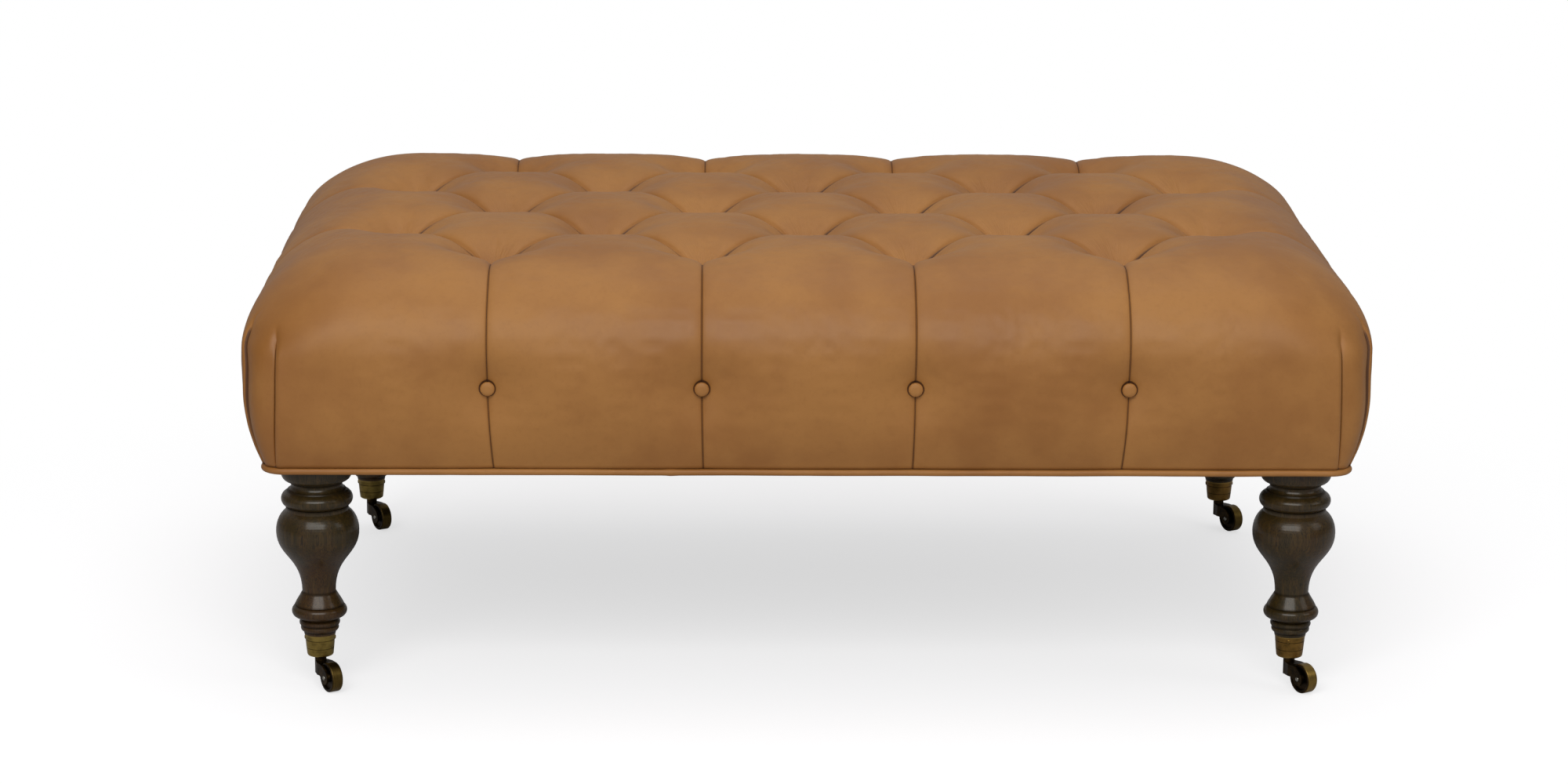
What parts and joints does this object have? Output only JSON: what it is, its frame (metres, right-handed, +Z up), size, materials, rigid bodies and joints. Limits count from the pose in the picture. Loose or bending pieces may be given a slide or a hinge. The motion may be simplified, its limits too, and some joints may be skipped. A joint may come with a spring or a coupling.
{
  "type": "tufted ottoman",
  "caption": "Long upholstered ottoman with a diamond-tufted leather top, pleated and buttoned sides, a welt, turned wooden legs and brass cup casters that swivel and roll.",
  "frame": {"origin": "on the floor under the middle of the seat, at the centre of the bounding box's bottom", "axes": "+X along the length to the right, +Y from the front to the back, +Z up"},
  "size_m": [1.238, 0.81, 0.495],
  "materials": {
    "leather": "satin",
    "foam": "matte",
    "frame_wood": "matte",
    "dust_cloth": "matte",
    "twine": "matte",
    "steel": "satin",
    "leg_wood": "satin",
    "brass": "satin",
    "bronze": "satin"
  },
  "bodies": {
    "base": {"tufted_cover": "leather", "welt_cord": "leather", "top_buttons": "leather", "front_buttons": "leather", "rear_buttons": "leather", "left_buttons": "leather", "right_buttons": "leather", "base_foam": "foam", "deck_panel": "frame_wood", "front_rail": "frame_wood", "rear_rail": "frame_wood", "left_rail": "frame_wood", "right_rail": "frame_wood", "cross_rails": "frame_wood", "rail_dowels": "frame_wood", "corner_blocks": "frame_wood", "deck_anchors": "frame_wood", "rail_anchors": "frame_wood", "dust_cover": "dust_cloth", "top_twines": "twine", "side_twines": "twine", "block_screws": "steel", "deck_screws": "steel", "hanger_bolts": "steel", "bolt_washers": "steel", "bolt_nuts": "steel", "leg_front_left": "leg_wood", "leg_front_right": "leg_wood", "leg_rear_left": "leg_wood", "leg_rear_right": "leg_wood", "cup_front_left": "brass", "cup_front_right": "brass", "cup_rear_left": "brass", "cup_rear_right": "brass", "cup_screws": "brass"},
    "fork_front_left": {"fork_front_left": "bronze", "pin_front_left": "steel", "axle_front_left": "steel"},
    "wheel_front_left": {"wheel_front_left": "bronze"},
    "fork_front_right": {"fork_front_right": "bronze", "pin_front_right": "steel", "axle_front_right": "steel"},
    "wheel_front_right": {"wheel_front_right": "bronze"},
    "fork_rear_left": {"fork_rear_left": "bronze", "pin_rear_left": "steel", "axle_rear_left": "steel"},
    "wheel_rear_left": {"wheel_rear_left": "bronze"},
    "fork_rear_right": {"fork_rear_right": "bronze", "pin_rear_right": "steel", "axle_rear_right": "steel"},
    "wheel_rear_right": {"wheel_rear_right": "bronze"}
  },
  "joints": [
    {"name": "swivel_front_left", "type": "hinge", "parent": "base", "child": "fork_front_left", "pos_m": [-0.54, -0.332, 0.036], "axis": [0, 0, 1], "continuous": true},
    {"name": "roll_front_left", "type": "hinge", "parent": "fork_front_left", "child": "wheel_front_left", "pos_m": [-0.52622, -0.35405, 0.0165], "axis": [0.848, 0.5299, 0], "continuous": true},
    {"name": "swivel_front_right", "type": "hinge", "parent": "base", "child": "fork_front_right", "pos_m": [0.54, -0.332, 0.036], "axis": [0, 0, 1], "continuous": true},
    {"name": "roll_front_right", "type": "hinge", "parent": "fork_front_right", "child": "wheel_front_right", "pos_m": [0.55378, -0.35405, 0.0165], "axis": [0.848, 0.5299, 0], "continuous": true},
    {"name": "swivel_rear_left", "type": "hinge", "parent": "base", "child": "fork_rear_left", "pos_m": [-0.54, 0.332, 0.036], "axis": [0, 0, 1], "continuous": true},
    {"name": "roll_rear_left", "type": "hinge", "parent": "fork_rear_left", "child": "wheel_rear_left", "pos_m": [-0.52622, 0.30995, 0.0165], "axis": [0.848, 0.5299, 0], "continuous": true},
    {"name": "swivel_rear_right", "type": "hinge", "parent": "base", "child": "fork_rear_right", "pos_m": [0.54, 0.332, 0.036], "axis": [0, 0, 1], "continuous": true},
    {"name": "roll_rear_right", "type": "hinge", "parent": "fork_rear_right", "child": "wheel_rear_right", "pos_m": [0.55378, 0.30995, 0.0165], "axis": [0.848, 0.5299, 0], "continuous": true}
  ]
}
